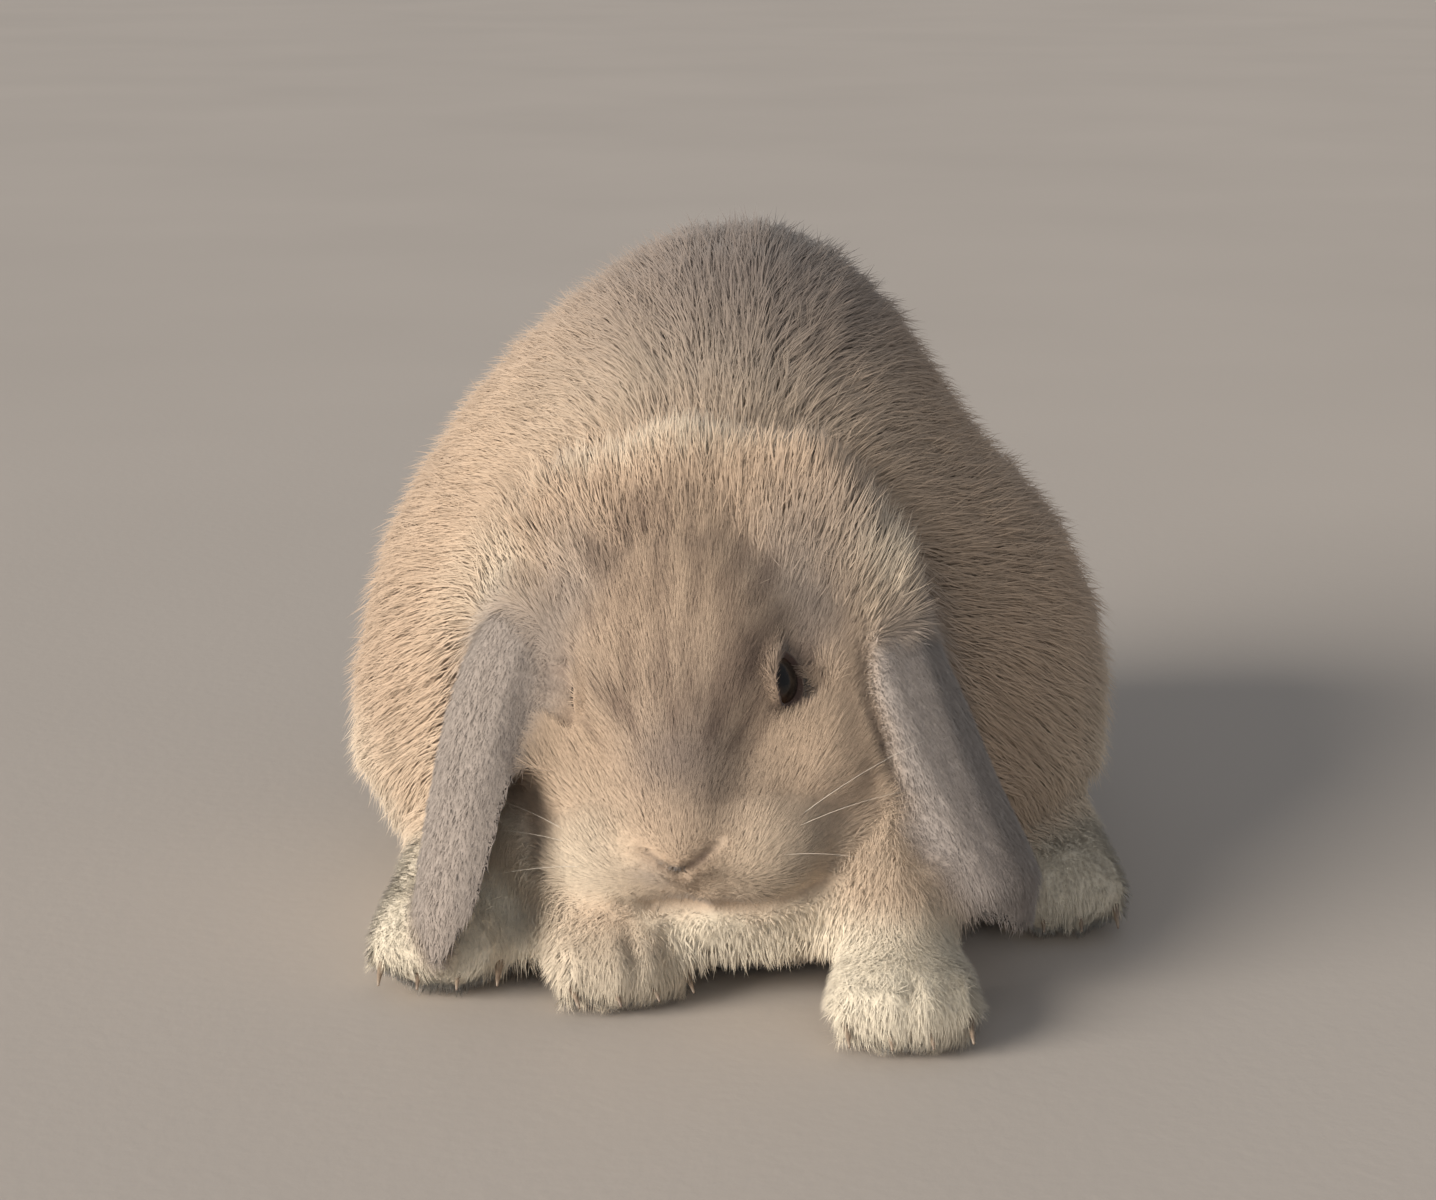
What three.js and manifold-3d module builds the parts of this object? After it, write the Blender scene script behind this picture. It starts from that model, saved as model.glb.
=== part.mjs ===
// A lop-eared rabbit, life size, crouching on a level floor with its nose low. Millimetres, +Z up.
// +X points to the animal's left, +Y towards its tail. The solids follow the outside of the coat.
// Flesh is drawn as round masses that run into each other, and is parted by thin cuts.
import * as THREE from "three";
import { mergeVertices } from "three/addons/utils/BufferGeometryUtils.js";
import Module from "manifold-3d";

// Driving dimensions
const gap = 0.4; // free space left in every cut
const napeGap = 2.6; // free space behind the head, whose room in the neck has larger facets
const backHeight = 164; // top of the loin above the floor
const bodyHalfWidth = 97; // at the haunches
const bodyMiddle = -3; // the trunk's own middle, a little to the animal's right
const rumpEnd = 124; // how far the rump reaches back
const bellyClearance = 7;
const skull = { middle: [-9.5, -62, 66], turn: -13.5, lean: 8, nod: 52 }; // degrees; nod dips the nose
const skullHalfLength = 52; // middle of the head to nose or nape
const cheekHalfWidth = 48;
const eye = { radius: 8.2, place: [18.6, -6, 11.9], opening: [7.4, 7.4, 6.6] }; // left, in the head's frame
const ear = { thickness: 5.2, rootCurl: 104, tipCurl: 64 };
const pawHalfWidth = 18.5;
const footHeight = 22;
const toes = { row: [-1.5, -0.5, 0.5, 1.5], spacing: 9, setBack: 2.4, radii: [5.2, 8.6, 8.9], low: -2.4 };
const claw = { length: 11, radius: 1.5, droop: 3.2, sides: 5, ahead: 12, low: -3.6 };

// How each body is meshed: the point that its rays leave, and its facets round and along it
const grids = {
  trunk: { middle: [bodyMiddle, 22, 72], stretch: [1, 1.25, 0.9], facets: [30, 20] },
  head: { middle: [0, 0, -2], stretch: [1, 1.2, 0.9], facets: [30, 24] },
  headRoom: { middle: [0, 0, -2], stretch: [1, 1.2, 0.9], facets: [22, 18] },
  foreleg: { middle: [0, 14, 6], stretch: [1, 1.7, 1], facets: [16, 12] },
  hindFoot: { middle: [0, 36, 1], stretch: [1, 3.4, 1], facets: [16, 13] },
  tail: { middle: [3, rumpEnd - 6, 40], stretch: [1, 1, 1], facets: [12, 8] },
};
const farthest = 160; // beyond every body's own middle

const wasm = await Module();
wasm.setup();
const sides = { left: 1, right: -1 };
const vec = (p) => new THREE.Vector3(...p);
const rad = THREE.MathUtils.degToRad;

// Round masses, as signed distances

// An ellipsoid. frame carries the mass's own axes to the animal's.
function ball(place, radii, blend, frame = new THREE.Matrix4()) {
  const back = new THREE.Matrix4().makeTranslation(...place).premultiply(frame).invert().elements;
  const [rx, ry, rz] = radii;
  return {
    blend,
    distance(x, y, z) {
      const px = (back[0] * x + back[4] * y + back[8] * z + back[12]) / rx;
      const py = (back[1] * x + back[5] * y + back[9] * z + back[13]) / ry;
      const pz = (back[2] * x + back[6] * y + back[10] * z + back[14]) / rz;
      const near = Math.hypot(px, py, pz);
      const slope = Math.hypot(px / rx, py / ry, pz / rz);
      return slope < 1e-9 ? -Math.min(rx, ry, rz) : (near * (near - 1)) / slope;
    },
  };
}

// A tapering round bar between two points.
function bar(from, to, fromRadius, toRadius, blend, frame = new THREE.Matrix4()) {
  const start = vec(from).applyMatrix4(frame);
  const along = vec(to).applyMatrix4(frame).sub(start);
  const length2 = along.lengthSq();
  return {
    blend,
    distance(x, y, z) {
      const [dx, dy, dz] = [x - start.x, y - start.y, z - start.z];
      const t = THREE.MathUtils.clamp((dx * along.x + dy * along.y + dz * along.z) / length2, 0, 1);
      const off = Math.hypot(dx - t * along.x, dy - t * along.y, dz - t * along.z);
      return off - (fromRadius + (toRadius - fromRadius) * t);
    },
  };
}

// All masses run together, each over its own blend width, and the whole grown by an even margin.
function flesh(masses, grown = 0) {
  return (x, y, z) => {
    let d = masses[0].distance(x, y, z);
    for (let i = 1; i < masses.length; i++) {
      const other = masses[i].distance(x, y, z);
      const k = masses[i].blend;
      const h = Math.max(k - Math.abs(d - other), 0) / k;
      d = Math.min(d, other) - (h * h * k) / 4;
    }
    return d - grown;
  };
}

// Meshes the surface where field is zero: a ball whose points are drawn in along their rays to middle,
// from outside the shape to its surface. Its poles lie fore and aft. stretch evens out the facets.
function meshOf(field, { middle, stretch, facets }, frame = new THREE.Matrix4()) {
  const shape = new THREE.SphereGeometry(1, ...facets).scale(...stretch);
  const centre = vec(middle);
  const place = shape.attributes.position;
  for (let i = 0; i < place.count; i++) {
    const ray = new THREE.Vector3().fromBufferAttribute(place, i).normalize();
    const point = (r) => centre.clone().addScaledVector(ray, r).applyMatrix4(frame);
    const height = (r) => field(...point(r).toArray());
    let outer = farthest;
    while (height(outer - 1.5) > 0) outer -= 1.5;
    let inner = outer - 1.5;
    for (let round = 0; round < 24; round++) {
      const half = (inner + outer) / 2;
      if (height(half) > 0) outer = half;
      else inner = half;
    }
    place.setXYZ(i, ...point(outer).toArray());
  }
  return solidOf(shape);
}

// Solids

function solidOf(geometry) {
  const bare = geometry.clone();
  bare.deleteAttribute("normal");
  bare.deleteAttribute("uv");
  const merged = mergeVertices(bare, 1e-4);
  const vertProperties = new Float32Array(merged.attributes.position.array);
  const triVerts = new Uint32Array(merged.index.array);
  return new wasm.Manifold(new wasm.Mesh({ numProp: 3, vertProperties, triVerts }));
}

const largest = (solid) => solid.decompose().sort((a, b) => b.volume() - a.volume())[0];

// An ellipsoid to cut with, turned about the upright; its grown copy is larger on every side.
function egg({ place, radii, turn = 0 }, grown = 0) {
  const shape = new THREE.SphereGeometry(1, 12, 8);
  shape.scale(...radii.map((r) => r + grown));
  shape.rotateZ(rad(turn)).translate(...place);
  return solidOf(shape);
}

// Trunk

function trunkMasses() {
  const bellyMiddle = bellyClearance + 55;
  const masses = [
    ball([bodyMiddle + 4, 40, backHeight - 58], [46, 60, 58], 22), // loin
    ball([bodyMiddle - 6, 34, 85], [72, 76, 62], 24), // flanks
    ball([bodyMiddle, 18, bellyMiddle], [76, 84, 55], 24), // belly
    ball([bodyMiddle, rumpEnd - 42, 62], [58, 42, 55], 26), // rump
    ball([bodyMiddle, -18, 74], [56, 52, 48], 26), // ribs
    bar([-6, -12, 84], [-4, 14, 96], 35, 46, 24), // nape
    ball([1, -68, 27], [54, 34, 27], 14), // bib under the chin
  ];
  for (const side of Object.values(sides)) {
    masses.push(ball([side * 28, -46, 48], [28, 32, 36], 16)); // shoulder
    masses.push(ball([side * 38, -58, 27], [15, 22, 20], 12)); // upper foreleg, inside the skin of the trunk
    masses.push(ball([bodyMiddle + 2 + side * (bodyHalfWidth - 45), 16, 52], [44, 65, 53], 20)); // haunch
    masses.push(ball([bodyMiddle + side * (bodyHalfWidth - 43), 6, 36], [41, 56, 34], 14)); // knee
  }
  return masses;
}

const tailMasses = () => [
  bar([1, rumpEnd - 16, 30], [3, rumpEnd, 42], 12, 13, 10),
  ball([4, rumpEnd + 3, 50], [14, 11, 16], 10),
];

// Legs. The left forepaw and the right hind foot are set forward, as in a slow walk.

const forefeet = {
  left: { sole: [35.5, -112, 11], turn: 4, wrist: [35, -90, 28], elbow: [31.5, -66, 48] },
  right: { sole: [-29, -87, 11], turn: 20, wrist: [-35, -70, 26], elbow: [-45, -60, 35] },
};
const hindFeet = {
  left: { toes: [77, -40, 11], heel: [76, 40, 13] },
  right: { toes: [-68.5, -77, 11], heel: [-68, 4, 13] },
};

function footFrame(middle, turn) {
  return new THREE.Matrix4().makeRotationZ(rad(turn)).setPosition(...middle);
}

// The outer toes are set back from the middle two.
function toeMasses(frame, ahead) {
  return toes.row.map((n) => {
    const place = [n * toes.spacing, Math.abs(n) * toes.setBack - ahead, toes.low];
    return ball(place, toes.radii, 4, frame);
  });
}

function forelegMasses({ sole, turn, wrist, elbow }) {
  const frame = footFrame(sole, turn);
  return [
    ball([0, 0, 0], [pawHalfWidth - 1, 19, footHeight - 10], 8, frame),
    bar(wrist, elbow, 17, 22, 12),
    ...toeMasses(frame, 11.5),
  ];
}

function hindTurn({ toes, heel }) {
  return THREE.MathUtils.radToDeg(Math.atan2(toes[0] - heel[0], heel[1] - toes[1]));
}

function hindFootMasses(foot) {
  const frame = footFrame(foot.toes, hindTurn(foot));
  return [
    bar([0, 26, 3], [0, vec(foot.toes).distanceTo(vec(foot.heel)), 2], 15, 13.5, 10, frame),
    ball([0, 6, 0], [pawHalfWidth, 24, footHeight - 9], 8, frame),
    ...toeMasses(frame, 11),
  ];
}

// Head. Its own frame has the nose at -Y and the crown at +Z.

const headFrame = new THREE.Matrix4()
  .makeRotationZ(rad(skull.turn))
  .multiply(new THREE.Matrix4().makeRotationY(rad(-skull.lean)))
  .multiply(new THREE.Matrix4().makeRotationX(rad(skull.nod)))
  .setPosition(...skull.middle);

function headMasses() {
  const inHead = (place, radii, blend) => ball(place, radii, blend, headFrame);
  const noseTip = 5 - skullHalfLength;
  const masses = [
    inHead([0, 12, 2], [28, 34, 28], 12), // cranium
    inHead([0, -14, 6], [19, 34, 21], 12), // bridge of the nose
    inHead([0, noseTip + 7, 4], [13, 12, 13], 8), // nose
    inHead([0, -39, -15], [19, 14, 12], 8), // chin
    inHead([0, 0, -20], [32, 34, 18], 14), // jaw
  ];
  for (const side of Object.values(sides)) {
    masses.push(inHead([side * (cheekHalfWidth - 22), -13, -13], [22, 29, 25], 10)); // cheek
    masses.push(inHead([side * 28, -21, -1], [14, 17, 13], 8)); // cheekbone
    masses.push(inHead([side * 20, -25, -19], [20, 21, 19], 10)); // jowl
    masses.push(inHead([side * 27, 16, -2], [18, 26, 18], 12)); // temple
    masses.push(inHead([side * 15, -37.5, -2.5], [18.5, 16.5, 16], 6)); // whisker pad
    masses.push(inHead([side * 15, -3, 17], [7, 13, 7], 8)); // brow
    masses.push(bar([0, 43, 16], [side * 27, 39, 13], 14, 13, 10, headFrame)); // crown of fur
    masses.push(bar([side * 27, 39, 13], [side * 43, 22, 2], 13, 12, 10, headFrame));
  }
  return masses;
}

// Ears. Each is a long blade, curled across, that hangs from the end of the crown.

const ears = {
  left: {
    line: [[31, -46, 92], [38, -65, 71], [49, -80, 44.5], [64, -93, 17.5]],
    away: [0.86, -0.5, 0.1],
    halfBreadth: 18.5,
  },
  right: {
    line: [[-44, -38, 90], [-56, -54, 70], [-62.5, -76, 43], [-67, -99, 10.5]],
    away: [-0.86, -0.5, 0.1],
    halfBreadth: 15,
  },
};
// The blade's rings, and the points across its outside, and again across its inside. The tip's share of
// the length is rounded off; the root is narrowed; the curl's middle is inset behind the ear's line.
const blade = { rings: 11, points: 6, tipShare: 0.16, bluntness: 0.05, narrowing: 0.14, inset: 0.55 };

function earSolid({ line, away, halfBreadth }, grown = 0) {
  const curve = new THREE.CatmullRomCurve3(line.map(vec));
  const outward = vec(away).normalize();
  const rings = [];
  for (let n = 0; n < blade.rings; n++) {
    const t = n / (blade.rings - 1);
    const along = curve.getTangentAt(t);
    const out = outward.clone().addScaledVector(along, -outward.dot(along)).normalize();
    const across = new THREE.Vector3().crossVectors(along, out);
    const intoTip = Math.max(t - 1 + blade.tipShare, 0) / blade.tipShare;
    const rounding = Math.sqrt(Math.max(1 - intoTip * intoTip, blade.bluntness));
    const swell = 1 - blade.narrowing * (1 - Math.sin(Math.PI * Math.min(t * 1.1, 1)));
    const reach = halfBreadth * swell * rounding;
    const curl = rad(THREE.MathUtils.lerp(ear.rootCurl, ear.tipCurl, t)); // half the blade's arc
    const radius = reach / Math.sin(Math.min(curl, Math.PI / 2));
    const halfThickness = (ear.thickness / 2) * (0.5 + 0.5 * rounding) + grown;
    const centre = curve.getPointAt(t).addScaledVector(out, -radius * blade.inset);
    centre.addScaledVector(along, n === blade.rings - 1 ? grown : 0);
    rings.push(bladeRing(centre, out, across, radius, curl + grown / radius, halfThickness));
  }
  return closedTube(rings);
}

function bladeRing(centre, out, across, radius, curl, halfThickness) {
  const ring = [];
  for (const face of [1, -1])
    for (let m = 0; m < blade.points; m++) {
      const share = (face * (2 * m - blade.points + 1)) / (blade.points - 1);
      const r = radius + face * halfThickness * Math.sqrt(1.08 - share * share);
      const angle = share * curl;
      const point = centre.clone().addScaledVector(out, r * Math.cos(angle));
      ring.push(point.addScaledVector(across, r * Math.sin(angle)));
    }
  return ring;
}

// Joins rings of equal length into a closed solid, its two ends capped by strips across the blade.
function closedTube(rings) {
  const around = rings[0].length;
  const index = [];
  for (let n = 0; n + 1 < rings.length; n++)
    for (let m = 0; m < around; m++) {
      const [a, b] = [n * around + m, n * around + ((m + 1) % around)];
      index.push(a, b, b + around, a, b + around, a + around);
    }
  for (const [first, turned] of [[0, false], [(rings.length - 1) * around, true]])
    for (let m = 0; m + 1 < around / 2; m++) {
      const quad = [m, m + 1, around - 2 - m, around - 1 - m].map((n) => first + n);
      const [p, q, r, s] = turned ? quad : quad.reverse();
      index.push(p, q, r, p, r, s);
    }
  return solidOf(new THREE.BufferGeometry().setFromPoints(rings.flat()).setIndex(index));
}

// A claw: a cone from inside the toe, bent down towards its tip.
function clawSolid(frame, [x, y, z], grown = 0) {
  const reach = claw.length + grown;
  const cone = new THREE.ConeGeometry(claw.radius + grown, reach, claw.sides, 2);
  cone.translate(0, reach / 2, 0);
  const place = cone.attributes.position;
  for (let i = 0; i < place.count; i++) {
    const share = place.getY(i) / reach;
    place.setZ(i, place.getZ(i) - claw.droop * share * share);
  }
  return solidOf(cone.rotateZ(Math.PI).translate(x, y, z).applyMatrix4(frame));
}

// Assembly

const group = new THREE.Group();
const shades = { fawn: "#c9ad8c", grey: "#8f8780", cream: "#e6d9bb", dark: "#17120f", horn: "#6d6257" };

function addPart(name, solid, shade, roughness = 0.95) {
  const mesh = largest(solid).getMesh();
  const geometry = new THREE.BufferGeometry();
  geometry.setAttribute("position", new THREE.BufferAttribute(mesh.vertProperties, 3));
  geometry.setIndex(new THREE.BufferAttribute(mesh.triVerts, 1));
  geometry.computeVertexNormals();
  const material = new THREE.MeshStandardMaterial({ color: shades[shade], roughness, metalness: 0 });
  const part = new THREE.Mesh(geometry, material);
  part.name = name;
  group.add(part);
}

const floor = solidOf(new THREE.BoxGeometry(600, 600, 100).translate(0, 0, -50));

// Head, with a socket for each eye
const headSolid = (grown, grid) => meshOf(flesh(headMasses(), grown), grid, headFrame);
const headRoom = headSolid(gap, grids.head);
let head = headSolid(0, grids.head);
for (const [name, side] of Object.entries(sides)) {
  const eyeball = (grown) => {
    const shape = new THREE.SphereGeometry(eye.radius + grown, 12, 8);
    return solidOf(shape.translate(side * eye.place[0], ...eye.place.slice(1)).applyMatrix4(headFrame));
  };
  const opening = new THREE.SphereGeometry(1, 10, 6).scale(...eye.opening);
  opening.translate(side * (eye.place[0] + eye.radius + 1), ...eye.place.slice(1));
  head = head.subtract(eyeball(gap)).subtract(solidOf(opening.applyMatrix4(headFrame)));
  addPart(`eye_${name}`, eyeball(0), "dark", 0.1);
}
addPart("head", head, "fawn");

// Trunk, haunches and neck are one mass, parted by eggs. Head and ears take their room from it.
const bodySolid = (grown) => meshOf(flesh(trunkMasses(), grown), grids.trunk);
const bodyRoom = bodySolid(gap);
let body = bodySolid(0).subtract(floor).subtract(headSolid(napeGap, grids.headRoom));
let limbRoom = bodyRoom.add(headRoom).add(floor);
for (const name in sides) {
  const earRoom = earSolid(ears[name], gap);
  body = body.subtract(earRoom);
  limbRoom = limbRoom.add(earRoom);
  addPart(`ear_${name}`, earSolid(ears[name]).subtract(headRoom), "grey");
}
function partOff(name, cutter) {
  addPart(name, body.intersect(egg(cutter)), "fawn");
  body = body.subtract(egg(cutter, gap));
}
for (const [name, side] of Object.entries(sides))
  partOff(`haunch_${name}`, { place: [side * 86, 18, 54], radii: [40, 62, 56] });
partOff("neck", { place: [-5, -30, 86], radii: [66, 36, 50] });
addPart("trunk", body, "fawn");

// What stands out from the trunk
addPart("tail", meshOf(flesh(tailMasses()), grids.tail).subtract(limbRoom), "cream");

function addLeg(name, frame, grid, masses, taken) {
  const roots = toes.row.map((n) => [n * toes.spacing, Math.abs(n) * toes.setBack - claw.ahead, claw.low]);
  let leg = meshOf(flesh(masses), grid, frame).subtract(taken);
  for (const root of roots) leg = leg.subtract(clawSolid(frame, root, gap));
  addPart(name, leg, "cream");
  roots.forEach((root, n) => addPart(`${name}_claw_${n + 1}`, clawSolid(frame, root), "horn", 0.5));
}

for (const name in sides) {
  const fore = forefeet[name];
  const frame = footFrame(fore.sole, fore.turn);
  addLeg(`foreleg_${name}`, frame, grids.foreleg, forelegMasses(fore), limbRoom);
  const beside = meshOf(flesh(forelegMasses(fore), gap), grids.foreleg, frame);
  const hind = hindFeet[name];
  const hindFrame = footFrame(hind.toes, hindTurn(hind));
  addLeg(`hind_foot_${name}`, hindFrame, grids.hindFoot, hindFootMasses(hind), limbRoom.add(beside));
}

// The origin is on the floor, under the middle of the animal's box.
const middle = new THREE.Box3().setFromObject(group).getCenter(new THREE.Vector3());
group.position.set(-middle.x, -middle.y, 0);

export default group;
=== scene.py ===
# A lop-eared rabbit at life size, crouching on the floor: skin, coat, eyes, whiskers and claws.
import math
import time

import bmesh
import bpy
import numpy as np
from mathutils import Matrix, Vector, bvhtree, kdtree


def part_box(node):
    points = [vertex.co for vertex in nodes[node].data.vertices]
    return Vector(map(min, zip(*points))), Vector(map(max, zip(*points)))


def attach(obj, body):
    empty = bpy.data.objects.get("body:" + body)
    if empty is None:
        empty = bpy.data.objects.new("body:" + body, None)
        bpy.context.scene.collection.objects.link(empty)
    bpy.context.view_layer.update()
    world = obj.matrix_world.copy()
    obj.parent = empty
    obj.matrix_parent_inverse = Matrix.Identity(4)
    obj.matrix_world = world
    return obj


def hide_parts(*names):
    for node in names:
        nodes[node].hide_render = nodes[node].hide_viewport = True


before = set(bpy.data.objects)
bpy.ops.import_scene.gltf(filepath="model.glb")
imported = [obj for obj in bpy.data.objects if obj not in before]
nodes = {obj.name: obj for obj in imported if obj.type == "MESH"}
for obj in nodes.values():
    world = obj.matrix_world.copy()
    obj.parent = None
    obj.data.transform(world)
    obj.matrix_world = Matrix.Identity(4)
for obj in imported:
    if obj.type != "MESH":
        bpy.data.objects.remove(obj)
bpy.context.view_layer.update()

rng = np.random.default_rng(41)
started = time.time()
mm = 0.001


def report(stage):
    print(f"{stage}: {time.time() - started:.0f} s")


# The head's own frame has the nose at -Y and the crown at +Z; places on the face are in it, in mm
headPose = {"middle": (-7.59, -64.66, 66), "turn": -13.5, "lean": -8, "nod": 52}
headTurn = (
    Matrix.Rotation(math.radians(headPose["turn"]), 3, "Z")
    @ Matrix.Rotation(math.radians(headPose["lean"]), 3, "Y")
    @ Matrix.Rotation(math.radians(headPose["nod"]), 3, "X")
)
headTurnArray = np.array(headTurn)
headMiddle = np.array(headPose["middle"]) * mm
sides = {"Left": 1, "Right": -1}


def toHead(points):
    return (points - headMiddle) @ headTurnArray / mm


def fromHead(place):
    return Vector(headMiddle) + headTurn @ (Vector(place) * mm)


def mirrored(place, side):
    return np.array(place) * (side, 1, 1)


def smoothStep(low, high, value):
    t = np.clip((value - low) / (high - low), 0, 1)
    return t * t * (3 - 2 * t)


def unit(vectors):
    return vectors / np.maximum(np.linalg.norm(vectors, axis=-1, keepdims=True), 1e-9)


def near(points, middle, radii):
    return np.exp(-(((points - np.array(middle)) / np.array(radii)) ** 2).sum(-1))


def nearLine(points, line):
    # distance to a broken line, and how far along it the nearest place is, from 0 to 1
    best = np.full(len(points), 1e9)
    along = np.zeros(len(points))
    corners = np.array(line, float)
    for n, (start, end) in enumerate(zip(corners, corners[1:])):
        run = end - start
        t = np.clip((points - start) @ run / (run @ run), 0, 1)
        far = np.linalg.norm(points - start - t[:, None] * run, axis=1)
        closer = far < best
        best[closer] = far[closer]
        along[closer] = (n + t[closer]) / (len(corners) - 1)
    return best, along


def readMesh(mesh):
    points = np.empty(len(mesh.vertices) * 3, np.float32)
    mesh.vertices.foreach_get("co", points)
    normals = np.empty(len(mesh.vertices) * 3, np.float32)
    mesh.vertices.foreach_get("normal", normals)
    pairs = np.empty(len(mesh.edges) * 2, np.int32)
    mesh.edges.foreach_get("vertices", pairs)
    return (
        points.reshape(-1, 3).astype(float),
        normals.reshape(-1, 3).astype(float),
        pairs.reshape(-1, 2),
    )


def writePoints(mesh, points):
    mesh.vertices.foreach_set("co", points.astype(np.float32).ravel())
    mesh.update()


def spread(values, pairs, rounds, amount=0.5):
    # evens out values over neighbouring points
    values = values.reshape(len(values), -1).copy()
    amount = np.broadcast_to(np.asarray(amount, float), (len(values),))[:, None]
    a, b = pairs.T
    share = 1 / np.maximum(np.bincount(pairs.ravel(), minlength=len(values)), 1)
    for _ in range(rounds):
        for c in range(values.shape[1]):
            total = np.bincount(a, values[b, c], len(values)) + np.bincount(b, values[a, c], len(values))
            values[:, c] += amount[:, 0] * (total * share - values[:, c])
    return values


def smoothFaces(mesh):
    mesh.polygons.foreach_set("use_smooth", np.ones(len(mesh.polygons), bool))


def finishPiece(mesh, name, material):
    piece = bpy.data.objects.new(name, mesh)
    bpy.context.scene.collection.objects.link(piece)
    mesh.materials.clear()
    mesh.materials.append(material)
    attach(piece, "root")
    return piece


def writeAttribute(mesh, name, values):
    kind = "FLOAT_VECTOR" if values.ndim == 2 else "FLOAT"
    layer = mesh.attributes.new(name, kind, "POINT")
    layer.data.foreach_set("vector" if values.ndim == 2 else "value", values.astype(np.float32).ravel())


# Materials

coatColours = {
    "fawn": (0.59, 0.435, 0.31),
    "fawnDeep": (0.235, 0.17, 0.12),
    "cream": (0.84, 0.745, 0.585),
    "grey": (0.34, 0.30, 0.275),
    "dark": (0.10, 0.062, 0.05),
}
coatFinish = {
    # painted shade: tufts darker at the root, where the coat shades itself, and a touch lighter at the tip
    "rootShade": 0.9,
    "tipShade": 1.04,
    "tintRange": 0.16,  # between one tuft and the next
    "patchScale": 38,
    "patchShade": 0.86,
    "fineScale": 900,
    "fineRange": 0.2,
    "bumpScale": 1400,
    "bumpDepth": 0.0004,
    "skinBump": 0.7,
    "tuftBump": 0.15,
    "roughness": 0.85,
    "sheen": 0.25,
    "specular": 0.2,
}


class Shader:
    # a short way to lay nodes out and join them
    def __init__(self, name):
        self.material = bpy.data.materials.new(name)
        self.material.use_nodes = True
        self.tree = self.material.node_tree
        self.surface = self.tree.nodes["Principled BSDF"]

    def add(self, kind, inputs=(), output=0, **settings):
        node = self.tree.nodes.new("ShaderNode" + kind)
        for key, value in settings.items():
            setattr(node, key, value)
        for key, value in dict(inputs).items():
            self.join(value, node.inputs[key])
        return node.outputs[output]

    def join(self, value, socket):
        if isinstance(value, bpy.types.NodeSocket):
            self.tree.links.new(value, socket)
        else:
            socket.default_value = value

    def attribute(self, name, output="Fac"):
        return self.add("Attribute", output=output, attribute_name=name)

    def math(self, operation, *values):
        return self.add("Math", dict(enumerate(values)), operation=operation)

    def range(self, value, fromLow, fromHigh, low, high):
        return self.add("MapRange", {0: value, 1: fromLow, 2: fromHigh, 3: low, 4: high})

    def mix(self, factor, first, second, blend="MIX"):
        first, second = [(*c, 1) if isinstance(c, tuple) else c for c in (first, second)]
        inputs = {0: factor, 6: first, 7: second}
        return self.add("Mix", inputs, output=2, data_type="RGBA", blend_type=blend)

    def noise(self, scale, detail=3, vector=None):
        vector = vector or self.add("TexCoord", output="Object")
        return self.add("TexNoise", {"Vector": vector, "Scale": scale, "Detail": detail})

    def bump(self, height, strength, distance):
        normal = self.add("Bump", {"Height": height, "Strength": strength, "Distance": distance})
        self.join(normal, self.surface.inputs["Normal"])

    def set(self, **values):
        for key, value in values.items():
            self.join(value, self.surface.inputs[key.replace("_", " ")])
        return self.material


def makeCoatMaterial(name, bumpStrength):
    # the marks attribute: x cream, y grey, z dark, the markings together with painted shade and painted
    # light; strand: x from root to tip, which sets the painted root shade, y its own tint, z ticking
    c, f = coatColours, coatFinish
    s = Shader(name)
    marksShadeAndLight = s.add("SeparateXYZ", {0: s.attribute("marksShadeAndLight", "Vector")}).node.outputs
    strand = s.add("SeparateXYZ", {0: s.attribute("strand", "Vector")}).node.outputs
    patches = s.range(s.noise(f["patchScale"], 2), 0.35, 0.7, 0, 1)
    colour = s.mix(patches, c["fawn"], tuple(f["patchShade"] * v for v in c["fawn"]))
    colour = s.mix(strand[2], colour, c["fawnDeep"])
    colour = s.mix(marksShadeAndLight[0], colour, c["cream"])
    colour = s.mix(marksShadeAndLight[1], colour, c["grey"])
    colour = s.mix(marksShadeAndLight[2], colour, c["dark"])
    # painted shade at the roots, with a touch of painted light at the tips
    shade = s.range(strand[0], 0, 1, f["rootShade"], f["tipShade"])
    tint = s.range(strand[1], 0, 1, 1 - f["tintRange"] / 2, 1 + f["tintRange"] / 2)
    fine = s.noise(f["fineScale"], 2)
    fine = s.range(fine, 0.3, 0.7, 1 - f["fineRange"] / 2, 1 + f["fineRange"] / 2)
    value = s.math("MULTIPLY", s.math("MULTIPLY", shade, tint), fine)
    grey = s.add("CombineColor", {0: value, 1: value, 2: value})
    s.set(Base_Color=s.mix(1, colour, grey, "MULTIPLY"))
    s.bump(s.noise(f["bumpScale"], 3), bumpStrength, f["bumpDepth"])
    return s.set(Roughness=f["roughness"], Sheen_Weight=f["sheen"], Specular_IOR_Level=f["specular"])


skinMaterial = makeCoatMaterial("short fur", coatFinish["skinBump"])
coatMaterial = makeCoatMaterial("coat", coatFinish["tuftBump"])


# Skin: the flesh nodes run together, then drawn in by the coat's depth

skinShape = {
    "voxel": 1.65,
    "swell": 2.0,  # closes the cuts between nodes before they are run together
    "earSwell": 0.8,
    "crumb": 400,  # loose pieces with fewer points than this are dropped
    "smooth": {"body": 26, "head": 8, "ear": 6, "foot": 5},  # rounds of smoothing
    "step": 0.6,
    "depthRounds": 12,
    "normalRounds": 3,
    "calm": 5,
    "socket": ((26, -6, 15), (12, 13, 12)),  # round each eye
    "earNotch": ((-34, -22, 12), (7, 7, 7)),  # by the right cheek
    "hollowRounds": 30,
}
# how deep the coat is over each part, in mm
coatDepth = {
    "body": 6.0,
    "nose": 1.2,
    "head": 2.8,
    "crown": 5.0,
    "ear": 0.9,
    "foot": 2.0,
    "leg": 2.5,  # added above the feet
    "tail": 5.0,
}
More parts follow.
